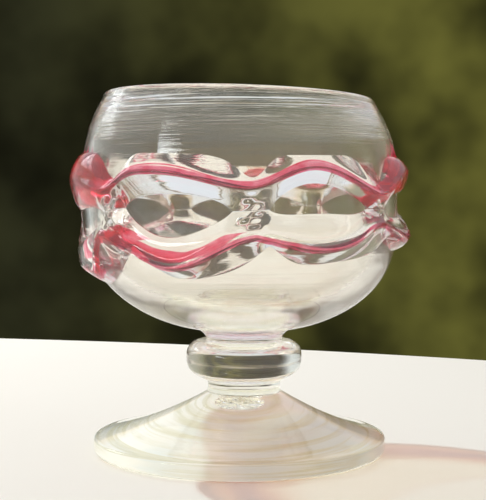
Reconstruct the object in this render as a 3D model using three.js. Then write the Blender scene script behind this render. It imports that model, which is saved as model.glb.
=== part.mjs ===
// A hand-blown glass goblet: an in-curving bowl on a short knopped stem and a domed foot. Two trails of
// clear glass, each cased over a ruby thread, are wound round the bowl and nipped together into a chain.
// Millimetres, +Z up, +X to the right of someone who looks along +Y. The origin is on the table, under the
// middle of the foot. Every piece is one gather of glass, and meets its neighbours face to face.
import * as THREE from "three";

// Heights of the pieces that stand on each other
const footHeight = 18.6;
const neckHeight = 3.6;
const knopHeight = 12.7;
const collarHeight = 3.7;
const bowlHeight = 71.9;

// Bowl
const bowlRadius = 48.9;
const bowlBaseRadius = 15.3;
const rimRadius = 40.8;
const widestShare = 0.575; // of the bowl's height
const lowerFullness = 3.17;
const lowerRoundness = 1.435;
const shoulderPower = 2.79;
const wall = 2.6;
const lipThickness = 3.2;
const lipTaper = 9;
const baseThickness = 5.7;
const cavityFullness = 2.5;

// Stem
const collarRadius = 11.9;
const collarFlare = 2.4;
const neckRadius = 11.6;
const neckWaist = 0.25;
const knopRadius = 18.05;
const knopWidestShare = 0.54; // of the knop's height

// Foot
const footRadius = 45.6;
const footEdge = 5.3;
const footEdgeRound = 2.2;
const footBend = 0.36;
const restWidth = 5.5;
const domeHeight = 9;
const domeTopRadius = 9;
const scarRadius = 6.5;
const scarDepth = 1.6;

// Trails round the bowl. Heights are over the bowl's base, and angles are from the front towards +X. The
// outer flank of a trail faces the rim or the foot, and its inner flank faces the window of bare wall in
// each cell. A dent changes a measure by so much at an angle, and dies away over its width.
const deg = THREE.MathUtils.degToRad;
const dent = (at, width, by) => ({ at: deg(at), width: deg(width), by });
const cells = 7;
const upperTrail = {
  side: 1,
  firstNip: deg(0.8),
  cellLean: deg(3.1),
  nipHeight: 43.1,
  slope: 2.2,
  droop: -0.6,
  nipDents: [dent(-39, 9, 3.3), dent(55, 21, -3)],
  rise: 5.1,
  archPower: 1.9,
  nipFlank: 2.6,
  farHeight: 52.8,
  farSlope: -0.6,
  farTwist: -0.7,
  notchTurn: deg(1.5),
  notchWidth: 5.4,
  notchPower: 2,
  windowReach: 4.3,
  windowDents: [dent(0, 75, 1), dent(22, 40, 2), dent(-80, 30, -2.9), dent(77, 20, -1.5)],
  heightDents: [],
  outerFall: 1,
  threadWidest: deg(80),
};
const lowerTrail = {
  side: -1,
  firstNip: deg(3.2),
  cellLean: deg(2.8),
  nipHeight: 30.9,
  slope: -1.2,
  droop: 3.8,
  nipDents: [dent(49, 6, 1.3), dent(-19, 18, -2.2)],
  rise: 4.7,
  archPower: 1.3,
  nipFlank: 3.4,
  farHeight: 19.3,
  farSlope: 5.4,
  farTwist: 0,
  notchTurn: deg(7),
  notchWidth: 6.5,
  notchPower: 1.3,
  windowReach: 6.6,
  windowDents: [dent(27, 30, -5.4), dent(77, 25, -2.6)],
  heightDents: [dent(77, 25, 0.16), dent(-78, 25, -0.4)],
  outerFall: 2,
  threadWidest: deg(-30),
};
const widerBehind = deg(3.3); // how far the spacing shifts the nips
const widestCell = deg(226);
const lateNip = dent(148, 30, deg(5.2));
const trailHeight = 3.7;
const nippedHeight = 2.9;
const innerFall = 0.95;
const ropeWidth = 1.9;
const ropeShare = 0.42; // of the trail's height
const ropeDents = [dent(-80, 22, -0.8), dent(80, 22, -0.6)];
const bridgeHeight = 2.1;
const bridgeHalf = 3; // half the width of the bridge at a nip
const bridgeLevel = 0.4; // share of it that is level
const bridgeDents = [dent(0, 75, 2.5)];
const windowRoundness = 0.65;
const featherEdge = 0.35;
const threadShare = 0.45; // of the trail's height
const threadWidth = 2.2;
const threadWidestWidth = 3.6;
const fuseGap = 0.15; // between a trail, its thread and the bowl's wall

// How far hand work leaves it out of true
const stemOffset = 1.4;
const rimTilt = deg(1.7); // higher on the left
const rimTiltReach = 22;

const footTop = footHeight;
const neckTop = footTop + neckHeight;
const knopTop = neckTop + knopHeight;
const bowlBase = knopTop + collarHeight;
const bowlWidest = bowlBase + bowlHeight * widestShare;
const rimTop = bowlBase + bowlHeight;

const chainFirst = (upperTrail.firstNip + lowerTrail.firstNip) / 2;
const chainLean = (upperTrail.cellLean + lowerTrail.cellLean) / 2;
const cellSteps = 10;
const roundSteps = cells * cellSteps;
const footSteps = 52;
const stemSteps = 36;
const point = (radius, height) => new THREE.Vector2(radius, height);
const smooth = (from, to, value) => THREE.MathUtils.smoothstep(value, from, to);
const mix = THREE.MathUtils.lerp;

// Points of a curve: at(t) for t from 0 to 1 in equal steps, its first point left out.
function along(steps, at) {
  return Array.from({ length: steps }, (_, i) => at((i + 1) / steps));
}

// The stem stands a little to the right of the foot and bowl, and the rim is sheared off level.
function handWorked(geometry) {
  const at = geometry.attributes.position;
  for (let i = 0; i < at.count; i++) {
    const x = at.getX(i);
    const z = at.getZ(i);
    const lean = stemOffset * (smooth(footEdge, footTop, z) - smooth(bowlBase, bowlWidest, z));
    at.setX(i, x + lean);
    at.setZ(i, z - x * Math.tan(rimTilt) * smooth(rimTop - rimTiltReach, rimTop, z));
  }
  return geometry;
}

// A profile turned about the axis. The angle is 0 at the front, -Y, and grows towards +X.
function turned(profile, steps) {
  return handWorked(new THREE.LatheGeometry(profile, steps, chainFirst).rotateX(Math.PI / 2));
}

// The outer wall swells out from the base to its widest, and draws in by a power of the height above it.
function wallRadius(z) {
  if (z < bowlWidest) {
    const down = Math.min(1, (bowlWidest - z) / (bowlWidest - bowlBase));
    return mix(bowlBaseRadius, bowlRadius, (1 - down ** lowerFullness) ** (1 / lowerRoundness));
  }
  const up = (z - bowlWidest) / (rimTop - bowlWidest);
  return mix(bowlRadius, rimRadius, up ** shoulderPower);
}

function bowl() {
  const lipRound = lipThickness / 2;
  const lipHeight = rimTop - lipRound;
  const lipRadius = wallRadius(lipHeight) - lipRound;
  const cavityFloor = bowlBase + baseThickness;
  const cavityRadius = bowlRadius - wall;
  const outerLower = along(9, (t) => {
    const z = mix(bowlWidest, bowlBase, Math.cos((t * Math.PI) / 2));
    return point(wallRadius(z), z);
  });
  const outerUpper = along(5, (t) => {
    const z = mix(bowlWidest, lipHeight, t);
    return point(wallRadius(z), z);
  });
  const lip = along(4, (t) =>
    point(lipRadius + lipRound * Math.cos(t * Math.PI), lipHeight + lipRound * Math.sin(t * Math.PI)),
  );
  const innerUpper = along(4, (t) => {
    const z = mix(lipHeight, bowlWidest, t);
    return point(wallRadius(z) - mix(wall, lipThickness, smooth(lipHeight - lipTaper, lipHeight, z)), z);
  });
  const innerLower = along(8, (t) => {
    const turn = (t * Math.PI) / 2;
    const radius = t === 1 ? 0 : cavityRadius * Math.cos(turn) ** (2 / cavityFullness);
    return point(radius, mix(bowlWidest, cavityFloor, Math.sin(turn) ** (2 / cavityFullness)));
  });
  const base = [point(0, bowlBase), point(bowlBaseRadius, bowlBase)];
  return turned([...base, ...outerLower, ...outerUpper, ...lip, ...innerUpper, ...innerLower], roundSteps);
}

// The collar flares from the knop up to the flat under the bowl.
function collar() {
  const flare = along(5, (t) =>
    point(mix(collarRadius, bowlBaseRadius, t ** collarFlare), mix(knopTop, bowlBase, t)),
  );
  return turned([point(0, knopTop), point(collarRadius, knopTop), ...flare, point(0, bowlBase)], stemSteps);
}

// The knop is a bun: a parabola under its widest, and a quarter ellipse over it.
function knop() {
  const widest = mix(neckTop, knopTop, knopWidestShare);
  const under = along(5, (t) =>
    point(mix(knopRadius, neckRadius, (1 - t) ** 2), mix(neckTop, widest, t)),
  );
  const over = along(5, (t) => {
    const turn = (t * Math.PI) / 2;
    return point(mix(collarRadius, knopRadius, Math.cos(turn)), mix(widest, knopTop, Math.sin(turn)));
  });
  const bottom = [point(0, neckTop), point(neckRadius, neckTop)];
  return turned([...bottom, ...under, ...over, point(0, knopTop)], stemSteps);
}

// The neck's waist is drawn in a little.
function neck() {
  const waist = along(4, (t) =>
    point(neckRadius - neckWaist * Math.sin(t * Math.PI), mix(footTop, neckTop, t)),
  );
  return turned([point(0, footTop), point(neckRadius, footTop), ...waist, point(0, neckTop)], stemSteps);
}

// The foot rests on a flat ring, and its underside rises in a dome to the flat that bears the scar.
function foot() {
  const ringOuter = footRadius - footEdgeRound;
  const ringInner = ringOuter - restWidth;
  const rounded = (height, from) =>
    along(3, (t) => {
      const turn = from + (t * Math.PI) / 2;
      return point(ringOuter + footEdgeRound * Math.cos(turn), height + footEdgeRound * Math.sin(turn));
    });
  const edge = [...rounded(footEdgeRound, -Math.PI / 2), ...rounded(footEdge - footEdgeRound, 0)];
  const cone = along(6, (t) => {
    const rise = (1 - footBend) * t + footBend * t * t;
    return point(mix(ringOuter, neckRadius, t ** 0.94), mix(footEdge, footTop, rise));
  });
  const dome = along(5, (t) =>
    point(mix(domeTopRadius, ringInner, t), domeHeight * Math.cos((t * Math.PI) / 2)),
  );
  const under = [point(0, domeHeight), point(domeTopRadius, domeHeight), ...dome, point(ringOuter, 0)];
  return turned([...under, ...edge, ...cone, point(0, footTop)], footSteps);
}

// The broken button of glass that the pontil rod left inside the dome
function pontilScar() {
  const button = [
    [0, 0.7],
    [0.45, 0.88],
    [0.8, 1],
    [1, 0.6],
    [0.93, 0],
    [0, 0],
  ];
  return turned(
    button.map(([out, down]) => point(scarRadius * out, domeHeight - scarDepth * down)),
    stemSteps / 2,
  );
}

const away = (angle, at) => Math.atan2(Math.sin(angle - at), Math.cos(angle - at));
const dentAt = ({ at, width, by }, angle) => by * Math.exp(-((away(angle, at) / width) ** 2));
const dented = (base, dents, angle) => dents.reduce((sum, each) => sum + dentAt(each, angle), base);

// How far round the chain an angle is: the cells are wider behind, and each leans.
function turnOf(angle, first, lean) {
  const turn = angle - first - widerBehind * Math.sin(angle - widestCell) + dentAt(lateNip, angle);
  return turn + (lean * (1 - Math.cos(cells * turn))) / 2;
}

// 0 at a nip and 1 in the middle of a cell
const archOf = (turn) => Math.abs(Math.sin((cells / 2) * turn));

// Distance along the wall from the nearest nip, and back to the arch
const fromNip = (turn) => (Math.asin(archOf(turn)) * bowlRadius * 2) / cells;
const archBeside = (distance) => Math.sin(((cells / 2) * distance) / bowlRadius);

// How far a cell's window is open: 0 over the width of the bridge at a nip
function opening(angle) {
  const shut = archBeside(dented(bridgeHalf, bridgeDents, angle));
  const arch = archOf(turnOf(angle, chainFirst, chainLean));
  return Math.max(0, (arch - shut) / (1 - shut)) ** windowRoundness;
}

// Height of a hand-laid trail's nips, and of the middle between the two trails, where they meet
function nipOf(trail, angle) {
  const uneven = trail.slope * Math.sin(angle) + trail.droop * Math.sin(angle) ** 3;
  return bowlBase + dented(trail.nipHeight, trail.nipDents, angle) + uneven;
}
const middleOf = (angle) => (nipOf(upperTrail, angle) + nipOf(lowerTrail, angle)) / 2;

const swell = (trail, angle) => archOf(turnOf(angle, trail.firstNip, trail.cellLean)) ** trail.archPower;
const ridgeOf = (trail, angle) => nipOf(trail, angle) + trail.side * trail.rise * swell(trail, angle);
const topOf = (trail, angle) =>
  mix(nippedHeight, trailHeight, swell(trail, angle)) * dented(1, trail.heightDents, angle);

// The outer edge is a lobe over each cell, with a notch at each nip.
function outerEdgeOf(trail, angle) {
  const near = nipOf(trail, angle) + trail.side * trail.nipFlank;
  const uneven = trail.farSlope * Math.sin(angle) + trail.farTwist * Math.cos(2 * angle);
  const distance = fromNip(turnOf(angle, trail.firstNip + trail.notchTurn, trail.cellLean));
  const lobe = 1 - Math.exp(-((distance / trail.notchWidth) ** trail.notchPower));
  return mix(near, bowlBase + trail.farHeight + uneven, lobe);
}

function innerEdgeOf(trail, angle) {
  const reach = dented(trail.windowReach, trail.windowDents, angle) * opening(angle);
  return middleOf(angle) + trail.side * (fuseGap + reach);
}

// The trail's height over the wall: a broad swelling that carries a rope along the ridge. At a nip the
// inner flank runs level into the bridge.
function reliefOf(trail, angle) {
  const ridge = ridgeOf(trail, angle);
  const outerEdge = outerEdgeOf(trail, angle);
  const innerEdge = innerEdgeOf(trail, angle);
  const top = topOf(trail, angle);
  const share = ropeShare * dented(1, ropeDents, angle);
  const beside = fromNip(turnOf(angle, chainFirst, chainLean)) / dented(bridgeHalf, bridgeDents, angle);
  const bridged = 1 - smooth(bridgeLevel, 1, beside);
  return (z) => {
    const rope = Math.exp(-(((z - ridge) / ropeWidth) ** 2));
    const outside = (z - ridge) * trail.side > 0;
    const t = Math.min(1, (z - ridge) / ((outside ? outerEdge : innerEdge) - ridge));
    const swelling = (1 - t * t) ** (outside ? trail.outerFall : innerFall);
    const flank = featherEdge + (top - featherEdge) * swelling * mix(1 - share, 1, rope);
    return outside ? flank : mix(flank, mix(bridgeHeight, top, rope), bridged);
  };
}

// Angles at which the chain's turn is even, so that each nip and each arch has a column
const roundAngles = Array.from({ length: roundSteps }, (_, i) => {
  const turn = (2 * Math.PI * i) / roundSteps;
  let angle = turn;
  for (let pass = 0; pass < 8; pass++) {
    angle += turn - turnOf(angle, chainFirst, 0);
  }
  return angle;
});

// A solid ring whose closed section of [radius, height] pairs changes with the angle.
function ringSolid(section) {
  const rings = roundAngles.map(section);
  const size = rings[0].length;
  const position = [];
  const index = [];
  rings.forEach((ring, i) => {
    const next = (i + 1) % roundSteps;
    ring.forEach(([radius, height], j) => {
      const beside = (j + 1) % size;
      position.push(radius * Math.sin(roundAngles[i]), -radius * Math.cos(roundAngles[i]), height);
      index.push(i * size + j, next * size + j, i * size + beside);
      index.push(i * size + beside, next * size + j, next * size + beside);
    });
  });
  const geometry = new THREE.BufferGeometry();
  geometry.setAttribute("position", new THREE.Float32BufferAttribute(position, 3));
  geometry.setIndex(index);
  geometry.computeVertexNormals();
  return handWorked(geometry);
}

// The ruby thread swells and thins twice on its way round, as it was drawn by hand.
function threadHalfWidth(trail, angle) {
  return mix(threadWidth, threadWidestWidth, Math.cos(angle - trail.threadWidest) ** 2) / 2;
}

const onWall = (z, out) => [wallRadius(z) + out, z];

// The clear casing has a groove on its inner side, in which the thread lies against the wall.
function trailCasing(trail) {
  return ringSolid((angle) => {
    const ridge = ridgeOf(trail, angle);
    const outerEdge = outerEdgeOf(trail, angle);
    const innerEdge = innerEdgeOf(trail, angle);
    const relief = reliefOf(trail, angle);
    const half = trail.side * (threadHalfWidth(trail, angle) + fuseGap);
    const groove = 2 * fuseGap + threadShare * topOf(trail, angle);
    const skin = [
      ...[1, 0.85, 0.6, 0.35, 0.15, 0].map((t) => mix(ridge, outerEdge, t)),
      ...[0.15, 0.35, 0.6, 0.82, 1].map((t) => mix(ridge, innerEdge, t)),
    ].map((z) => onWall(z, fuseGap + relief(z)));
    const base = [
      onWall(innerEdge, fuseGap),
      onWall((innerEdge + ridge - half) / 2, fuseGap),
      onWall(ridge - half, fuseGap),
      onWall(ridge - half / 2, groove),
      onWall(ridge + half / 2, groove),
      onWall(ridge + half, fuseGap),
      ...along(3, (t) => onWall(mix(ridge + half, outerEdge, t), fuseGap)),
    ];
    const section = [...skin, ...base];
    return trail.side > 0 ? section.reverse() : section;
  });
}

function rubyThread(trail) {
  return ringSolid((angle) => {
    const ridge = ridgeOf(trail, angle);
    const half = threadHalfWidth(trail, angle);
    const over = fuseGap + threadShare * topOf(trail, angle);
    return [
      onWall(ridge - half * 0.45, over),
      onWall(ridge + half * 0.45, over),
      onWall(ridge + half, fuseGap),
      onWall(ridge, fuseGap),
      onWall(ridge - half, fuseGap),
    ];
  });
}

const glass = (color, roughness) => new THREE.MeshStandardMaterial({ color, roughness, metalness: 0 });
const clearGlass = glass(0xe9efe8, 0.05);
const footGlass = glass(0xdfe6d8, 0.08);
const trailGlass = glass(0xf1ece9, 0.04);
const rubyGlass = glass(0xc2173c, 0.1);

function piece(name, geometry, material) {
  const mesh = new THREE.Mesh(geometry, material.clone());
  mesh.name = name;
  return mesh;
}

const goblet = new THREE.Group();
goblet.add(
  piece("foot", foot(), footGlass),
  piece("pontil_scar", pontilScar(), footGlass),
  piece("neck", neck(), clearGlass),
  piece("knop", knop(), clearGlass),
  piece("collar", collar(), clearGlass),
  piece("bowl", bowl(), clearGlass),
  piece("upper_trail", trailCasing(upperTrail), trailGlass),
  piece("upper_ruby_thread", rubyThread(upperTrail), rubyGlass),
  piece("lower_trail", trailCasing(lowerTrail), trailGlass),
  piece("lower_ruby_thread", rubyThread(lowerTrail), rubyGlass),
);

export default goblet;
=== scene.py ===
"""A hand-blown glass goblet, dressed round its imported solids. Lengths are in millimetres until a mesh is made.

Angles are 0 at the front, -Y, and grow towards +X. Every piece of glass is one closed surface. Where two pieces
are fused, both end in a face of the same "fused joint" finish, which light passes without bending, because there is
no air between them: only the skin of the whole lump refracts.
"""

import math
from types import SimpleNamespace

import bpy
import numpy as np
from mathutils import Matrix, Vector


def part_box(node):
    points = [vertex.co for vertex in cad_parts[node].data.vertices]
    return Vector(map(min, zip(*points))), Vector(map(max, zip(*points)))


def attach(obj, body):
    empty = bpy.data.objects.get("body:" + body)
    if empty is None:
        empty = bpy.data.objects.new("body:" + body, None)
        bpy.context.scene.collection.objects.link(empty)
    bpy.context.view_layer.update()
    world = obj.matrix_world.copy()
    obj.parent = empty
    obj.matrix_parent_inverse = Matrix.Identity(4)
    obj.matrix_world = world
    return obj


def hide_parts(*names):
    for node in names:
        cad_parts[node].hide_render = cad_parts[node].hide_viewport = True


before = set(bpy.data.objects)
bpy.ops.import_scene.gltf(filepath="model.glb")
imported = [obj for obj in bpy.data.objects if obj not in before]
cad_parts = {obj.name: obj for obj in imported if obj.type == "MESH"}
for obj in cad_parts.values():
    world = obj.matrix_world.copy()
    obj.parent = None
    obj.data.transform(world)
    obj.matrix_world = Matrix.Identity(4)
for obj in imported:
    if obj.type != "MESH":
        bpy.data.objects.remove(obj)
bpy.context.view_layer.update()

MM = 0.001


def top_of(node):
    """Height of a solid's highest point, in millimetres."""
    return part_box(node)[1].z / MM


# Sizes of the solids, which the dressed surfaces keep.
FOOT_TOP, NECK_TOP, KNOP_TOP, BOWL_BASE = (top_of(n) for n in ("foot", "neck", "knop", "collar"))
BOWL_HEIGHT = 71.9
WIDEST = BOWL_BASE + 0.575 * BOWL_HEIGHT
RIM_TOP = BOWL_BASE + BOWL_HEIGHT
BASE_RADIUS, BOWL_RADIUS, RIM_RADIUS = 15.3, 48.9, 40.8
WALL, LIP, FLOOR_THICKNESS = 2.6, 3.9, 5.7
COLLAR_RADIUS, NECK_RADIUS, KNOP_RADIUS = 11.9, 11.6, 18.05
FOOT_EDGE, FOOT_ROUND, TOP_ROUND, RING_OUTER, RING_INNER = 5.3, 2.2, 1.2, 43.4, 37.9
DOME_HEIGHT, DOME_TOP_RADIUS = 9.0, 9.0
SCAR_RADIUS, SCAR_DEPTH, SCAR_JOINT = 6.5, 1.6, 0.93
STEM_OFFSET, RIM_TILT, RIM_TILT_REACH = 1.4, 1.7, 22
CELLS = 7

# The thin edge at which a trail starts, how far down the lip is thick, and the heights between which the cavity
# leaves the outer wall's form.
FEATHER = 0.012
LIP_REACH = 5.5
CAVITY_EASES = (62, 72)

# The finishes of a band of faces, by their place in a piece's list.
SKIN, FUSED, WORN = 0, 1, 2

COLUMNS = 120 * CELLS
ANGLE = np.arange(COLUMNS) * (2 * math.pi / COLUMNS)


def deg(degrees):
    """Degrees in radians."""
    return degrees * math.pi / 180


def mix(a, b, t):
    """a where t is 0, b where it is 1, and in a straight line between them."""
    return a + (b - a) * t


def smooth(low, high, value):
    """0 up to low, 1 from high on, and 3t^2 - 2t^3 between them."""
    t = np.clip((value - low) / (high - low), 0, 1)
    return t * t * (3 - 2 * t)


def hand_worked(points):
    """The stem stands a little to the right of the foot and the bowl, and the rim is sheared off level."""
    x, z = points[..., 0], points[..., 2]
    lean = STEM_OFFSET * (smooth(FOOT_EDGE, FOOT_TOP, z) - smooth(BOWL_BASE, WIDEST, z))
    tilt = x * math.tan(deg(RIM_TILT)) * smooth(RIM_TOP - RIM_TILT_REACH, RIM_TOP, z)
    return points + np.stack([lean, np.zeros_like(x), -tilt], axis=-1)


def rings(radius, height):
    """Points radius * (sin a, -cos a) at that height, for arrays of rows by columns."""
    radius, height, angle = np.broadcast_arrays(radius, height, ANGLE)
    points = np.stack([radius * np.sin(angle), -radius * np.cos(angle), height], axis=-1)
    return hand_worked(points)


def surface(name, points, finishes, bands=None, looped=False, across=None):
    """A closed mesh from rings of points, each joined to the next ring. Looped, the last ring joins the first.
    Otherwise each end closes in a fan on the middle of its ring. bands gives each band's finish, the two end
    fans first and last; a fused band is flat, so that it leaves its neighbours' normals alone. across, in
    millimetres for each point, is kept with sin a and cos a as the attribute "drawn", in which a pattern can follow
    the glass round the bowl."""
    rows, columns = points.shape[:2]
    at = np.arange(rows * columns).reshape(rows, columns)
    lower = at if looped else at[:-1]
    upper = np.roll(at, -1, axis=0) if looped else at[1:]
    quads = np.stack([lower, np.roll(lower, -1, 1), np.roll(upper, -1, 1), upper], axis=-1)
    place = np.zeros(rows + (0 if looped else 1), int) if bands is None else np.asarray(bands)
    vertices = points.reshape(-1, 3)
    if looped:
        fans = np.zeros((0, 3), int)
        quad_place, fan_place = np.repeat(place, columns), np.zeros(0, int)
    else:
        vertices = np.vstack([vertices, points[0].mean(0), points[-1].mean(0)])
        first, last = np.full(columns, rows * columns), np.full(columns, rows * columns + 1)
        fans = np.vstack([
            np.stack([first, np.roll(at[0], -1), at[0]], axis=-1),
            np.stack([last, at[-1], np.roll(at[-1], -1)], axis=-1),
        ])
        quad_place = np.repeat(place[1:-1], columns)
        fan_place = np.repeat(place[[0, -1]], columns)
    quads = quads.reshape(-1, 4)
    mesh = bpy.data.meshes.new(name)
    mesh.vertices.add(len(vertices))
    mesh.vertices.foreach_set("co", (vertices * MM).astype(np.float32).ravel())
    corners = np.concatenate([quads.ravel(), fans.ravel()])
    mesh.loops.add(len(corners))
    mesh.loops.foreach_set("vertex_index", corners.astype(np.int32))
    starts = np.concatenate([np.arange(len(quads)) * 4, len(quads) * 4 + np.arange(len(fans)) * 3])
    mesh.polygons.add(len(starts))
    mesh.polygons.foreach_set("loop_start", starts.astype(np.int32))
    for finish in finishes:
        mesh.materials.append(finish)
    all_places = np.concatenate([quad_place, fan_place]).astype(np.int32)
    mesh.polygons.foreach_set("material_index", all_places)
    mesh.polygons.foreach_set("use_smooth", all_places != FUSED)
    if across is not None:
        drawn = np.stack([np.sin(ANGLE) + 0 * across, np.cos(ANGLE) + 0 * across, across * MM], axis=-1)
        attribute = mesh.attributes.new("drawn", "FLOAT_VECTOR", "POINT")
        attribute.data.foreach_set("vector", drawn.astype(np.float32).ravel())
    mesh.update(calc_edges=True)
    mesh.validate()
    made = bpy.data.objects.new(name, mesh)
    bpy.context.scene.collection.objects.link(made)
    return made


class Socket:
    """A shader socket whose arithmetic adds Math nodes."""

    def __init__(self, finish, socket):
        self.finish, self.socket = finish, socket

    def math(self, operation, *values):
        """A Math node on the values, each a number or a socket."""
        return self.finish.node("ShaderNodeMath", {"operation": operation}, dict(enumerate(values)))

    def __add__(self, other):
        return self.math("ADD", self, other)

    def __sub__(self, other):
        return self.math("SUBTRACT", self, other)

    def __mul__(self, other):
        return self.math("MULTIPLY", self, other)

    def __rsub__(self, other):
        return self.math("SUBTRACT", other, self)

    __radd__ = __add__
    __rmul__ = __mul__

    def between(self, low, high):
        """0 at low and under, 1 at high and over, eased between them."""
        return self.finish.node(
            "ShaderNodeMapRange", {"interpolation_type": "SMOOTHSTEP"}, {0: self, 1: low, 2: high}
        )


class Finish:
    """The node tree of a material, a lamp or the world."""

    def __init__(self, owner):
        owner.use_nodes = True
        self.tree = owner.node_tree
        self.tree.nodes.clear()

    def node(self, kind, settings=None, sockets=None, output=0):
        """Adds a node: its settings first, then the values and links of its sockets. Gives one of its outputs."""
        made = self.tree.nodes.new(kind)
        for key, value in (settings or {}).items():
            setattr(made, key, value)
        for key, value in (sockets or {}).items():
            if isinstance(value, Socket):
                self.tree.links.new(value.socket, made.inputs[key])
            else:
                made.inputs[key].default_value = value
        return Socket(self, made.outputs[output]) if made.outputs else None

    def blend(self, factor, a, b):
        """Colour a where the factor is 0, and b where it is 1."""
        a, b = ((*c, 1) if isinstance(c, tuple) else c for c in (a, b))
        return self.node("ShaderNodeMix", {"data_type": "RGBA"}, {0: factor, 6: a, 7: b}, 2)

    def stretch(self, vector, scale):
        """The vector, multiplied by the scale along x, y and z."""
        return self.node("ShaderNodeMapping", {}, {"Vector": vector, "Scale": scale})

    def place(self, scale):
        """Object coordinates, stretched by the scale."""
        return self.stretch(self.node("ShaderNodeTexCoord", output="Object"), scale)

    def noise_along(self, vector, detail, roughness=0.5, distortion=0.0, scale=1.0):
        """Noise with scale waves for each unit of the vector."""
        sockets = {"Scale": scale, "Detail": detail, "Roughness": roughness, "Distortion": distortion}
        return self.node("ShaderNodeTexNoise", {}, {"Vector": vector, **sockets})

    def noise(self, scale, detail=2.0, roughness=0.5):
        """Noise with the given number of waves per metre along x, y and z."""
        return self.noise_along(self.place(scale), detail, roughness)

    def bump(self, height, distance):
        """The normal of a skin that a height of 1 lifts by the distance, in metres."""
        return self.node("ShaderNodeBump", {}, {"Height": height, "Distance": distance, "Strength": 1.0})


GLASS_IOR = 1.5
TENTH = 0.1 * MM
# Layer Weight's Facing, up to which light meets a skin square, and from which it grazes it.
SLANT = (0.25, 0.62)


def cast_tinted(f, shader, shade):
    """The glass throws a light, tinted shadow: lamps shine through each skin and lose little where they meet it
    square, and more where they graze it."""
    square, grazing = (f.node("ShaderNodeBsdfTransparent", {}, {"Color": (*colour, 1)}) for colour in shade)
    slant = f.node("ShaderNodeLayerWeight", {}, {"Blend": 0.5}, "Facing").between(*SLANT)
    through = f.node("ShaderNodeMixShader", {}, {0: slant, 1: square, 2: grazing})
    shadow_ray = f.node("ShaderNodeLightPath", output="Is Shadow Ray")
    return f.node("ShaderNodeMixShader", {}, {0: shadow_ray, 1: shader, 2: through})


def glass(name, tint, deeper, relief, smudge, shade, clear=0.972):
    """Clear glass: the tint deepens in broad clouds, the skin carries the relief in tenths of a millimetre, and
    faint smudges dull it. clear is the share of light that isn't scattered, and shade tints the shadow."""
    material = bpy.data.materials.new(name)
    f = Finish(material)
    clouds = f.noise((28, 28, 40), detail=3).between(0.35, 0.7)
    smudges = f.noise((60, 60, 45), detail=4, roughness=0.6).between(0.55, 0.75)
    shader = f.node(
        "ShaderNodeBsdfPrincipled",
        {},
        {
            "Base Color": f.blend(clouds, tint, deeper),
            "Roughness": smudges * smudge + 0.004,
            "IOR": GLASS_IOR,
            "Transmission Weight": clear,
            "Normal": f.bump(relief(f), TENTH),
        },
    )
    f.node("ShaderNodeOutputMaterial", {}, {"Surface": cast_tinted(f, shader, shade)})
    return material


def blown(f):
    """Horizontal lines drawn out by the blowing, close and sharp near the rim, over slow waves from the tools."""
    height = f.node("ShaderNodeSeparateXYZ", {}, {0: f.place((1, 1, 1))}, 2)
    near_rim = height.between(0.088, 0.104)
    fine = f.noise((7, 7, 1300), detail=3, roughness=0.6)
    coarse = f.noise((14, 14, 380), detail=2)
    return fine * (near_rim * 1.2 + 0.2) + coarse * (near_rim * 4.5 + 0.3) + f.noise((70, 70, 160), detail=1)


def cast_foot(f):
    """Soft rings from turning the foot, over slow waves."""
    rings_turned = f.noise((10, 10, 500), detail=2) * 1.5 + f.noise((5, 5, 1300), detail=2) * 0.4
    return rings_turned + f.noise((45, 45, 110), detail=2) * 2.6


def drawn_out(f):
    """Fine cords along the trail, in its own attribute, over small dents."""
    drawn = f.node("ShaderNodeAttribute", {"attribute_name": "drawn"}, {}, "Vector")
    cords = f.noise_along(f.stretch(drawn, (1.6, 1.6, 700)), detail=1)
    return cords * 0.15 + f.noise((120, 120, 120), detail=1) * 0.6


def fused_joint():
    """The face where two gathers of hot glass became one: there is nothing left to see."""
    material = bpy.data.materials.new("fused_joint")
    f = Finish(material)
    shader = f.node("ShaderNodeBsdfPrincipled", {}, {"Base Color": (1, 1, 1, 1), "Alpha": 0.0, "Roughness": 0.0})
    f.node("ShaderNodeOutputMaterial", {}, {"Surface": shader})
    return material


def ruby(name, colour, density, clear):
    """Ruby glass inside clear glass: its skin bends no light and scatters a little of it, red, from the metal in
    it, and its body takes green and blue out of the rest."""
    material = bpy.data.materials.new(name)
    f = Finish(material)
    streaks = f.noise((300, 300, 300), detail=3).between(0.3, 0.75)
    shader = f.node(
        "ShaderNodeBsdfPrincipled",
        {},
        {
            "Base Color": f.blend(streaks, (1.0, 0.55, 0.66), (0.90, 0.14, 0.26)),
            "Roughness": 0.0,
            "IOR": 1.0,
            "Transmission Weight": clear,
        },
    )
    body = f.node("ShaderNodeVolumeAbsorption", {}, {"Color": (*colour, 1), "Density": density})
    skin = cast_tinted(f, shader, BLUSH)
    f.node("ShaderNodeOutputMaterial", {}, {"Surface": skin, "Volume": body})
    return material


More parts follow.
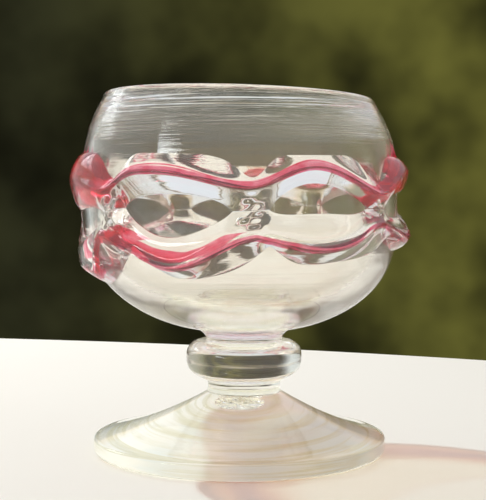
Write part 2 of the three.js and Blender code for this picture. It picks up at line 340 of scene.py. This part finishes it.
def worn_underside_with_painted_reflection():
    """Glass ground dull by the years on tables: most of the light scatters in it, more in fine rings round the axis,
    which also streak it straw. Its bluish clouds are a painted reflection."""
    material = bpy.data.materials.new("worn_underside_with_painted_reflection")
    f = Finish(material)
    plan = f.place((1, 1, 0))
    radius = f.node("ShaderNodeVectorMath", {"operation": "LENGTH"}, {0: plan}, "Value")
    east, north = (f.node("ShaderNodeSeparateXYZ", {}, {0: plan}, axis) for axis in (0, 1))
    ringed = f.node("ShaderNodeCombineXYZ", {}, {0: east * 22, 1: north * 22, 2: radius * 400})
    streaks = f.noise_along(ringed, detail=4, distortion=0.7).between(0.42, 0.64)
    clouds = f.noise((26, 26, 26), detail=2).between(0.42, 0.60)
    # Painted reflection: the bluish clouds in the colour stand for bluish light reflected in the foot.
    pale = f.blend(clouds, (1.0, 0.99, 0.94), (0.84, 0.89, 0.89))
    shader = f.node(
        "ShaderNodeBsdfPrincipled",
        {},
        {
            "Base Color": f.blend(streaks, pale, (0.77, 0.75, 0.58)),
            "Roughness": streaks * 0.2 + 0.4,
            "IOR": GLASS_IOR,
            "Transmission Weight": 0.16,
            "Normal": f.bump(cast_foot(f), TENTH),
        },
    )
    f.node("ShaderNodeOutputMaterial", {}, {"Surface": cast_tinted(f, shader, PALE_PEACH)})
    return material


# Tints of a shadow, for light that meets a skin square and for light that grazes it.
PALE_PEACH = ((0.995, 0.99, 0.98), (0.95, 0.90, 0.84))
PEACH = ((0.985, 0.95, 0.885), (0.82, 0.45, 0.21))
PINK = ((0.76, 0.46, 0.26), (0.62, 0.30, 0.14))
BLUSH = ((0.93, 0.72, 0.68), (0.85, 0.50, 0.42))

# Tints of the glass, and of its deeper clouds.
WATER = ((0.99, 0.98, 0.95), (0.975, 0.965, 0.93))
STRAW = ((0.985, 0.975, 0.93), (0.965, 0.955, 0.90))
DEEP_STRAW = ((0.985, 0.98, 0.91), (0.965, 0.96, 0.87))

CLEAR = glass("clear_glass", *STRAW, blown, 0.03, PEACH)
STEM = glass("stem_glass", *STRAW, blown, 0.03, PALE_PEACH)
FOOT = glass("foot_glass", *DEEP_STRAW, cast_foot, 0.05, PALE_PEACH, clear=0.98)
UNDERSIDE = worn_underside_with_painted_reflection()
TRAIL = glass("trail_glass", *WATER, drawn_out, 0.02, PINK)
RUBY = ruby("ruby_glass", (0.97, 0.05, 0.36), 1900.0, 0.88)
ROSE = ruby("rose_glass", (0.80, 0.24, 0.46), 1200.0, 0.99)
JOINT = fused_joint()


def settle(piece, node):
    """The piece rides on the goblet and stands in for its solid, which is hidden."""
    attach(piece, "root")
    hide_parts(node)


def wall_radius(z):
    """Under the widest, the radius swells from the base as (1 - down^3.17)^(1/1.435), down being the share of the way
    to the base; over it, it draws in to the rim as up^2.79."""
    down = np.clip((WIDEST - z) / (WIDEST - BOWL_BASE), 0, 1)
    up = np.clip((z - WIDEST) / (RIM_TOP - WIDEST), 0, 1)
    return np.where(
        z < WIDEST,
        mix(BASE_RADIUS, BOWL_RADIUS, (1 - down**3.17) ** (1 / 1.435)),
        mix(BOWL_RADIUS, RIM_RADIUS, up**2.79),
    )


def away_from(centre):
    """How far round the bowl each column is from the centre, in radians, up to half a turn either way."""
    return np.angle(np.exp(1j * (ANGLE - deg(centre))))


def local(centre, width):
    """A rise of height 1 at the centre, falling off as exp(-(d / width)^2) round the bowl. Both are in degrees."""
    return np.exp(-((away_from(centre) / deg(width)) ** 2))


# side is 1 where a trail waves up from its nips, and -1 where it waves down. bulge and sag are (depth, centre,
# width). lugs is 1 where the trail is rounded to a lug.
UPPER = SimpleNamespace(
    side=1, nip=81.7, rise=5.1, droop=-0.6, lean=2.2, first=0.8, skew=3.1, power=1.9,
    bulge=(3.3, -39, 9), sag=(-3, 55, 21), nip_flank=2.6, notch_turn=1.5, notch_power=2.0,
    swell_early=0, notch_early=0, rope_share=0.28, crest_power=1.4, lugs=local(72, 15) + local(-70, 17),
)
LOWER = SimpleNamespace(
    side=-1, nip=69.5, rise=4.7, droop=3.8, lean=-1.2, first=3.2, skew=2.8, power=1.3,
    bulge=(1.3, 49, 6), sag=(-2.2, -19, 18), nip_flank=3.4, notch_turn=7.0, notch_power=1.3,
    swell_early=deg(6) * local(-48, 16), notch_early=deg(2.6) * local(8, 20), rope_share=0.5, crest_power=2,
    lugs=0.8 * local(76, 12) + 0.8 * local(-74, 16),
)
TRAIL_HEIGHT, NIPPED_HEIGHT, BRIDGE_HEIGHT = 3.7, 2.9, 2.1
PRESSED = local(0, 75)
BRIDGE_HALF = 4.2 + 1.3 * PRESSED
ROPE_WIDTH = 1.7


def turn_of(first, skew):
    """How far round the chain each column is, in radians: the cells are wider behind, and each leans."""
    turn = ANGLE - deg(first) - deg(3.3) * np.sin(ANGLE - deg(226)) + deg(5.2) * local(148, 30)
    return turn + deg(skew) * (1 - np.cos(CELLS * turn)) / 2


def from_nip(turn):
    """Distance along the wall to the nearest nip, in millimetres, for a turn in radians."""
    return BOWL_RADIUS * np.arcsin(np.abs(np.sin(CELLS / 2 * turn))) / (CELLS / 2)


def hang_of(trail):
    """Height of the trail's nips all round: one height, plus a droop on sin^3 a, a lean on sin a, a bulge and a sag."""
    slope = trail.droop * np.sin(ANGLE) ** 3 + trail.lean * np.sin(ANGLE)
    uneven = sum(depth * local(centre, width) for depth, centre, width in (trail.bulge, trail.sag))
    return trail.nip + slope + uneven


def swell_of(trail):
    """0 at a nip and 1 in the middle of a cell: |sin(3.5 turn)| to the trail's power."""
    turn = turn_of(trail.first, trail.skew) + trail.swell_early
    return np.abs(np.sin(CELLS / 2 * turn)) ** trail.power


def ridge_of(trail):
    """The wave of the chain. The soft lower trail has sagged in its left cell, and hangs to a lobe on the far left."""
    wave = hang_of(trail) + trail.side * trail.rise * swell_of(trail)
    if trail is UPPER:
        return wave
    lobe = 1 - smooth(deg(13), deg(22), np.abs(away_from(-75)))
    return wave - 3.5 * local(-26, 18) - 1.1 * local(9, 7) - 4.2 * lobe - 2.6 * local(-63, 6)


def height_of(trail):
    """How far the ridge stands over the wall. The lower trail stands out on the right, and more on the left."""
    uneven = 1 if trail is UPPER else 1 + 0.16 * local(77, 25) + 0.15 * local(-76, 20)
    return mix(NIPPED_HEIGHT, TRAIL_HEIGHT, swell_of(trail)) * uneven


def beside_nip():
    """Distance along the wall to the nearest nip, in millimetres, where the two trails are bridged."""
    return from_nip(turn_of((UPPER.first + LOWER.first) / 2, (UPPER.skew + LOWER.skew) / 2))


def outer_edge_of(trail):
    """The trail's far edge: a lobe over each cell between notches of 1 - exp(-(d / width)^power), d being the
    distance from the nip, from a level near the ridge to the far reach of the glass."""
    near = hang_of(trail) + trail.side * trail.nip_flank
    if trail is UPPER:
        far = 91.4 - 0.7 * np.cos(2 * ANGLE) - 0.6 * np.sin(ANGLE)
        notch_width = 5.4 + 1.2 * local(-12, 10) + 1.6 * local(46, 8)
    else:
        far = 57.9 + 5.4 * np.sin(ANGLE)
        notch_width = 6.5 - 2.5 * np.sin(ANGLE - deg(5))
    distance = from_nip(turn_of(trail.first + trail.notch_turn, trail.skew) + trail.notch_early)
    return near + (far - near) * (1 - np.exp(-((distance / notch_width) ** trail.notch_power)))


def inner_edge_of(trail):
    """The edge at the cell's window, which opens beside the bridge at each nip."""
    middle = (hang_of(UPPER) + hang_of(LOWER)) / 2
    shut = np.sin(CELLS / 2 * BRIDGE_HALF / BOWL_RADIUS)
    arch = np.sin(CELLS / 2 * beside_nip() / BOWL_RADIUS)
    opening = np.clip((arch - shut) / (1 - shut), 0, 1)
    if trail is UPPER:
        reach = 4.3 + PRESSED + 2 * local(22, 40) - 2.9 * local(-80, 30) - 1.5 * local(77, 20)
    else:
        reach = 6.6 - 5.4 * local(27, 30) - 2.6 * local(77, 25)
    return middle + trail.side * (FEATHER / 2 + reach * opening**0.65)


def web_at(z):
    """Height of the pinched web over the wall: level, with a dimple that the pincers left, and small waves."""
    middle = (hang_of(UPPER) + hang_of(LOWER)) / 2 + 2.2
    dimple = np.exp(-((beside_nip() / 2.2) ** 2) - ((z - middle) / 2.1) ** 2)
    waves = np.sin(31 * ANGLE + 1.3 * z) + 0.7 * np.sin(47 * ANGLE - 1.9 * z + 2)
    return BRIDGE_HEIGHT + PRESSED * (0.16 * waves - 0.9 * dimple)


def relief_of(trail, z):
    """How far the trail stands over the wall at heights z: a broad swelling that carries a rope, exp(-(d / width)^2).
    With t 0 on the ridge and 1 at the edge, the swelling is 1 - t^crest_power over the ridge and (1 - t^1.5)^1.15
    under it, where the soft glass hung, and falls faster at the lobe on the far left. A lug is (1 - t^2)^0.6. At a
    nip the inner flank runs into the web."""
    ridge, outer, inner = ridge_of(trail), outer_edge_of(trail), inner_edge_of(trail)
    top = height_of(trail)
    rope = np.exp(-(((z - ridge) / ROPE_WIDTH) ** 2))
    out = np.clip((z - ridge) / (outer - ridge), 0, 1)
    into = np.clip((z - ridge) / (inner - ridge), 0, 1)
    on_outer = (z - ridge) * trail.side > 0
    share = np.where(z > ridge, trail.rope_share, 0.1) * (1 - 0.8 * local(-80, 22) - 0.6 * local(80, 22))
    across = np.where(on_outer, out, into)
    steep = (1 - across**1.5) ** (1.15 + 0.9 * local(-78, 20) * (trail is LOWER))
    swelling = np.where(z > ridge, 1 - across**trail.crest_power, steep)
    swelling = mix(swelling, (1 - across**2) ** 0.6, trail.lugs)
    flank = top * swelling * mix(1 - share, 1, rope)
    bridged = 1 - smooth(0.2, 1, beside_nip() / BRIDGE_HALF)
    web = mix(web_at(z), top, rope)
    return FEATHER + np.where(on_outer, flank, mix(flank, web, bridged))


def rows_between(low, high, steps, ease=None):
    """Rows from low to high, both arrays of columns, in equal steps or eased ones."""
    t = np.linspace(0, 1, steps + 1)
    t = t if ease is None else ease(t)
    return mix(np.asarray(low)[None, :], np.asarray(high)[None, :], t[:, None])


def level(z):
    """The same height at every column."""
    return np.full(COLUMNS, float(z))


def bowl_surface():
    """The outer wall climbs from the base disc to the lip with a row along each edge of the trails; the lip is half
    a circle; inside, the wall is 2.6 thick down to the lower trail, and then eases to the cavity's own form,
    (r / R)^2.9 + (h / H)^2.5 = 1, down to the floor."""
    low_out, low_in = outer_edge_of(LOWER), inner_edge_of(LOWER)
    up_out, up_in = outer_edge_of(UPPER), inner_edge_of(UPPER)
    lip_round = LIP / 2
    lip_height = RIM_TOP - lip_round
    lip_radius = wall_radius(np.array(lip_height)) - lip_round
    stages = [
        (rows_between(level(BOWL_BASE), low_out, 26, lambda t: 1 - np.cos(t * math.pi / 2)), SKIN),
        (rows_between(low_out, low_in, 3), FUSED),
        (rows_between(low_in, up_in, 12), SKIN),
        (rows_between(up_in, up_out, 3), FUSED),
        (rows_between(up_out, level(lip_height), 20), SKIN),
    ]
    heights = np.vstack([stages[0][0]] + [rows[1:] for rows, _ in stages[1:]])
    radii = wall_radius(heights)
    bands = [FUSED] + [place for rows, place in stages for _ in range(len(rows) - 1)]
    turn = np.linspace(0, math.pi, 11)[1:, None]
    lip = (lip_radius + lip_round * np.cos(turn), lip_height + lip_round * np.sin(turn))
    z = np.linspace(lip_height, WIDEST, 13)[1:, None]
    upper = (wall_radius(z) - mix(WALL, LIP, smooth(lip_height - LIP_REACH, lip_height, z)), z)
    turn = np.linspace(0, math.pi / 2, 25)[1:-1, None]
    cavity_floor = BOWL_BASE + FLOOR_THICKNESS
    z = mix(WIDEST, cavity_floor, np.sin(turn) ** 0.8)
    ellipse = (BOWL_RADIUS - WALL) * np.cos(turn) ** 0.7
    lower = (mix(ellipse, wall_radius(z) - WALL, smooth(*CAVITY_EASES, z)), z)
    inside = [(r + np.zeros(COLUMNS), h + np.zeros(COLUMNS)) for r, h in (lip, upper, lower)]
    radii = np.vstack([radii] + [r for r, _ in inside])
    heights = np.vstack([heights] + [h for _, h in inside])
    bands += [SKIN] * (len(radii) + 1 - len(bands))
    return surface("blown_bowl", rings(radii, heights), (CLEAR, JOINT), bands)


def trail_surface(name, trail):
    """A closed ring: the relief over the wall from the lower edge to the upper one, and back down along the wall."""
    outer, inner, ridge = outer_edge_of(trail), inner_edge_of(trail), ridge_of(trail)
    outer_rows = rows_between(ridge, outer, 28, lambda t: np.sin(t * math.pi / 2))
    inner_rows = rows_between(ridge, inner, 34)
    rows = np.vstack([outer_rows[::-1], inner_rows[1:]])
    if trail.side > 0:
        rows = rows[::-1]
    relief = relief_of(trail, rows)
    back = rows_between(rows[-1], rows[0], 3)
    heights = np.vstack([rows, back])
    radii = np.vstack([wall_radius(rows) + relief, wall_radius(back)])
    bands = [SKIN] * (len(rows) - 1) + [FUSED] * (len(back) + 1)
    return surface(name, rings(radii, heights), (TRAIL, JOINT), bands, looped=True, across=heights - ridge)


def core_surface(name, trail, finish, half_width, shift, thickness=0.13, span=None):
    """A ruby core: a flat ellipse halfway into the relief, half_width and shift in millimetres for each column, and
    half its thickness in shares of the relief. The edges are as thin as a fade. With a span, in degrees, it is a
    strip with two closed ends instead of a ring."""
    turn = np.linspace(0, 2 * math.pi, 25)[:-1, None]
    heights = ridge_of(trail) + shift + half_width * np.sin(turn)
    across = np.cos(turn) * np.abs(np.cos(turn)) ** 0.5
    radii = wall_radius(heights) + relief_of(trail, heights) * (0.5 + thickness * across)
    points = rings(radii, heights)
    if span is None:
        return surface(name, points, (finish,), looped=True)
    first, last = (round(edge / 360 * COLUMNS) for edge in span)
    columns = np.arange(first, last + 1) % COLUMNS
    return surface(name, points[::-1, columns].transpose(1, 0, 2), (finish,))


def follow(*knots):
    """A value for each column, eased from knot to knot, each knot an angle in degrees and a value there."""
    angles, values = np.array(knots, float).T
    round_angle = (np.degrees(ANGLE) + 180) % 360 - 180
    place = np.interp(round_angle, angles, np.arange(len(angles)))
    low = np.floor(place).astype(int)
    high = np.minimum(low + 1, len(values) - 1)
    return mix(values[low], values[high], smooth(0, 1, place - low))


bowl = bowl_surface()
settle(bowl, "bowl")
upper_trail = trail_surface("upper_waving_trail", UPPER)
settle(upper_trail, "upper_trail")
lower_trail = trail_surface("lower_waving_trail", LOWER)
settle(lower_trail, "lower_trail")

mottle = 1 + 0.25 * UPPER.lugs * (np.sin(41 * ANGLE) + np.sin(67 * ANGLE + 1))
upper_core = core_surface(
    "upper_ruby_core", UPPER, ROSE, 1.0 + 0.15 * np.sin(5 * ANGLE), 0.45 + 0.2 * np.sin(3 * ANGLE), thickness=0.15
)
settle(upper_core, "upper_ruby_thread")
strand_half = 0.05 + 0.22 * swell_of(UPPER) + 5.0 * UPPER.lugs
upper_strand = core_surface(
    "upper_ruby_strand",
    UPPER,
    RUBY,
    strand_half * mottle,
    1.0 + 0.7 * swell_of(UPPER) + 0.9 * UPPER.lugs,
    thickness=0.08 + 0.26 * UPPER.lugs * mottle,
)
settle(upper_strand, "upper_ruby_thread")
lower_core = core_surface("lower_ruby_core", LOWER, ROSE, 0.6 + 0.12 * np.sin(4 * ANGLE + 1), 0 * ANGLE)
settle(lower_core, "lower_ruby_thread")
lower_ribbon = core_surface(
    "lower_ruby_ribbon",
    LOWER,
    RUBY,
    follow((-66, 0.05), (-62, 0.8), (-56, 1.4), (-48, 1.7), (-33, 2.0), (-24, 1.9), (-17, 1.4), (-6, 1.5), (2, 0.05)),
    follow((-62, 0), (-51, 0), (-41, 1.9), (-32, 2.7), (-24, 3.0), (-17, 2.5), (-11, 2.0), (-2, 2.0)),
    thickness=follow((-66, 0.1), (-56, 0.3), (-33, 0.3), (-20, 0.26), (-10, 0.14), (2, 0.05)),
    span=(-66, 2),
)
settle(lower_ribbon, "lower_ruby_thread")
lower_smear = core_surface(
    "lower_ruby_smear",
    LOWER,
    RUBY,
    follow((-47, 0.05), (-43, 1.1), (-37, 1.2), (-30, 0.05)),
    follow((-47, 3.6), (-43, 4.6), (-38, 5.1), (-30, 6.6)),
    thickness=follow((-47, 0.4), (-42, 0.4), (-37, 0.14), (-30, 0.1)),
    span=(-47, -30),
)
settle(lower_smear, "lower_ruby_thread")


def lathe(name, profile, finishes, bands=None):
    """The (radius, height) profile turned round the axis, from the middle of the bottom out and up."""
    profile = np.asarray(profile, float)
    return surface(name, rings(profile[:, :1], profile[:, 1:]), finishes, bands)


def curve(steps, radius, height):
    """Rows of (radius, height) at equal steps of t from 0 to 1."""
    t = np.linspace(0, 1, steps + 1)
    return np.stack([radius(t) + 0 * t, height(t) + 0 * t], axis=-1)


def jointed(rows):
    """Bands of a piece whose two end fans are fused joints."""
    return [FUSED] + [SKIN] * (rows - 1) + [FUSED]


def knop_profile():
    """A boxy ball: under the widest the radius falls off as down^3.2, and over it as (1 - up^2.4)^(1/2.4)."""
    widest = mix(NECK_TOP, KNOP_TOP, 0.6)
    under = curve(
        30,
        lambda t: mix(KNOP_RADIUS, NECK_RADIUS, (1 - t**0.5) ** 3.2),
        lambda t: mix(NECK_TOP, widest, t**0.5),
    )
    over = curve(
        24,
        lambda t: mix(COLLAR_RADIUS, KNOP_RADIUS, np.abs(np.cos(t * math.pi / 2)) ** (2 / 2.4)),
        lambda t: mix(widest, KNOP_TOP, np.sin(t * math.pi / 2) ** (2 / 2.4)),
    )
    return np.vstack([under, over[1:]])


def foot_profile():
    """From the scar's joint out over the dome, (cos), to the flat resting ring, round the edge and up the cone."""
    scar = [(SCAR_JOINT * SCAR_RADIUS, DOME_HEIGHT)]
    dome = curve(24, lambda t: mix(DOME_TOP_RADIUS, RING_INNER, t), lambda t: DOME_HEIGHT * np.cos(t * math.pi / 2))
    reach = RING_OUTER + FOOT_ROUND

    def rounding(height, start, size):
        """A quarter of a circle of radius size, from the angle start, that just touches the foot's full reach."""
        return curve(
            8,
            lambda t: reach - size + size * np.cos(start + t * math.pi / 2),
            lambda t: height + size * np.sin(start + t * math.pi / 2),
        )

    edge = np.vstack([
        rounding(FOOT_ROUND, -math.pi / 2, FOOT_ROUND),
        rounding(FOOT_EDGE - TOP_ROUND, 0, TOP_ROUND),
    ])
    cone = curve(
        30,
        lambda t: mix(reach - TOP_ROUND, NECK_RADIUS, t**0.94),
        lambda t: mix(FOOT_EDGE, FOOT_TOP, 0.64 * t + 0.36 * t * t),
    )
    return np.vstack([scar, dome, edge, cone[1:]])


def scar_surface():
    """The broken button of glass: its outline in shares of its size, roughened by three waves round it."""
    profile = np.array([
        (0.1, 0.72), (0.25, 0.78), (0.45, 0.88), (0.65, 0.98), (0.8, 1.0), (0.93, 0.9), (1.0, 0.6), (0.97, 0.3),
        (SCAR_JOINT, 0.0),
    ])
    jag = 0.08 * np.sin(5 * ANGLE + 1) + 0.06 * np.sin(11 * ANGLE) + 0.04 * np.sin(23 * ANGLE + 2)
    out, down = profile[:, :1], profile[:, 1:]
    free = smooth(0, 0.3, down)
    return surface(
        "broken_pontil_scar",
        rings(SCAR_RADIUS * out * (1 + jag * free * 0.6), DOME_HEIGHT - SCAR_DEPTH * down * (1 + jag * free)),
        (FOOT, JOINT),
        [SKIN] * len(profile) + [FUSED],
    )


knop = lathe("solid_knop", knop_profile(), (STEM, JOINT), jointed(len(knop_profile())))
settle(knop, "knop")
neck_rows = curve(
    8, lambda t: NECK_RADIUS - 0.25 * np.sin(t * math.pi), lambda t: mix(FOOT_TOP, NECK_TOP, t)
)
neck = lathe("drawn_neck", neck_rows, (STEM, JOINT), jointed(len(neck_rows)))
settle(neck, "neck")
collar_rows = curve(
    14, lambda t: mix(COLLAR_RADIUS, BASE_RADIUS, t**2.4), lambda t: mix(KNOP_TOP, BOWL_BASE, t)
)
collar = lathe("flared_collar", collar_rows, (STEM, JOINT), jointed(len(collar_rows)))
settle(collar, "collar")
# The dome, the ring that the foot stands on and the start of its rounding are worn.
worn_bands = 28
foot_bands = [FUSED] + [WORN] * worn_bands + [SKIN] * (len(foot_profile()) - worn_bands - 1) + [FUSED]
foot = lathe("domed_foot", foot_profile(), (FOOT, JOINT, UNDERSIDE), foot_bands)
settle(foot, "foot")
scar = scar_surface()
settle(scar, "pontil_scar")


def table_finish():
    """Pale matt board with faint clouds and a fine tooth."""
    material = bpy.data.materials.new("pale_table")
    f = Finish(material)
    clouds = f.noise((6, 6, 6), detail=3)
    shader = f.node(
        "ShaderNodeBsdfPrincipled",
        {},
        {
            "Base Color": f.blend(clouds, (0.90, 0.892, 0.862), (0.875, 0.865, 0.83)),
            "Roughness": 0.7,
            "Specular IOR Level": 0.2,
            "Normal": f.bump(f.noise((900, 900, 900)), 0.00005),
        },
    )
    f.node("ShaderNodeOutputMaterial", {}, {"Surface": shader})
    return material


def table():
    """A round table top, 2.02 m across, whose far edge passes 0.25 m behind the goblet. Its own middle is in front
    and to the left."""
    rows = np.array([(990, -24.02), (1004, -20), (1010, -12), (1009, -4), (1005, -0.02), (300, -0.02), (20, -0.02)])
    angle = ANGLE[None, :]
    middle_x, middle_y = -345, -685
    points = np.stack([
        middle_x + rows[:, :1] * np.sin(angle), middle_y - rows[:, :1] * np.cos(angle), rows[:, 1:] + 0 * angle
    ], axis=-1)
    made = surface("table_top", points, (table_finish(),))


def light(name, place, target, size, watts, colour, mirrored=True):
    """A rectangular lamp, size = (width, height). Not mirrored, it lights the scene but shows in no glass. Mirrored,
    it fades towards its sides and is streaked, as a curtained window is."""
    data = bpy.data.lights.new(name, "AREA")
    data.shape, data.size, data.size_y, data.energy, data.color = "RECTANGLE", *size, watts, colour
    lamp = bpy.data.objects.new(name, data)
    bpy.context.scene.collection.objects.link(lamp)
    lamp.location = place
    lamp.rotation_euler = (Vector(target) - Vector(place)).to_track_quat("-Z", "Y").to_euler()
    lamp.visible_glossy = lamp.visible_transmission = mirrored
    if mirrored:
        f = Finish(data)
        spot = f.node("ShaderNodeNewGeometry", output="Parametric")
        rest, u = (f.node("ShaderNodeSeparateXYZ", {}, {0: spot}, axis) for axis in (0, 1))
        v = 1 - rest - u
        veil = f.noise_along(f.stretch(spot, (2.5, 9, 1)), detail=3).between(0.3, 0.7)
        soft = (u * (1 - u) * 4).between(0, 0.8) * (v * (1 - v) * 4).between(0, 0.8)
        shader = f.node("ShaderNodeEmission", {}, {"Strength": soft * (veil + 0.4) * 1.6})
        f.node("ShaderNodeOutputLight", {}, {"Surface": shader})


def studio():
    """Seen directly, or through or in the glass, the room is a dark, mottled olive band behind the goblet, darker on
    the left, under a pale ceiling, and pale in front. All else is lit by plain pale light."""
    world = bpy.data.worlds.new("studio")
    bpy.context.scene.world = world
    f = Finish(world)
    direction = f.node("ShaderNodeTexCoord", output="Generated")
    x, y, z = (f.node("ShaderNodeSeparateXYZ", {}, {0: direction}, axis) for axis in range(3))
    mottled = f.noise_along(direction, detail=3, scale=9.0).between(0.35, 0.75)
    left = f.blend(mottled, (0.008, 0.008, 0.004), (0.03, 0.031, 0.014))
    right = f.blend(mottled, (0.02, 0.02, 0.006), (0.15, 0.145, 0.03))
    behind = f.blend(x.between(-0.2, 0.25), left, right)
    beside = f.blend(x.between(-0.3, 0.3), (0.72, 0.78, 0.78), (0.30, 0.30, 0.22))
    around = f.blend(y.between(0.90, 0.72), behind, beside)
    band = f.blend(y.between(-0.1, -0.6), around, (1.0, 0.84, 0.58))
    under = f.blend(z.between(-0.14, -0.2), band, (0.80, 0.76, 0.68))
    fringed = f.blend(z.between(0.22, 0.28), under, (0.62, 0.52, 0.36))
    room = f.blend(z.between(0.26, 0.34), fringed, (0.78, 0.84, 0.92))
    seen = f.node("ShaderNodeLightPath", output="Is Camera Ray")
    seen = seen + f.node("ShaderNodeLightPath", output="Is Glossy Ray")
    seen = seen + f.node("ShaderNodeLightPath", output="Is Transmission Ray")
    colour = f.blend(seen.between(0, 1), (0.56, 0.545, 0.51), room)
    shader = f.node("ShaderNodeBackground", {}, {"Color": colour, "Strength": 1.0})
    f.node("ShaderNodeOutputWorld", {}, {"Surface": shader})


table()
studio()
light("key", (-0.754, 0.78, 1.175), (0, 0, 0.04), (0.04, 0.04), 15.1, (1.0, 0.965, 0.92), mirrored=False)
light("sky_panel", (-1.0, 0.55, 0.72), (0, 0, 0.07), (0.7, 0.7), 3.2, (0.92, 0.97, 1.0))
light("window", (-0.82, -0.84, 0.36), (0, 0, 0.09), (0.62, 0.3), 4.6, (0.88, 0.95, 1.0))

looking_down = 2.39
camera_data = bpy.data.cameras.new("camera")
camera_data.lens = 84.6
camera_data.sensor_width = 36
camera = bpy.data.objects.new("camera", camera_data)
bpy.context.scene.collection.objects.link(camera)
camera.location = (0.0011, -0.3674, 0.0781)
camera.rotation_euler = (deg(90 - looking_down), 0, 0)
bpy.context.scene.camera = camera

scene = bpy.context.scene
scene.view_settings.view_transform = "Standard"
scene.cycles.max_bounces = 32
scene.cycles.transmission_bounces = 32
scene.cycles.glossy_bounces = 12
scene.cycles.transparent_max_bounces = 64
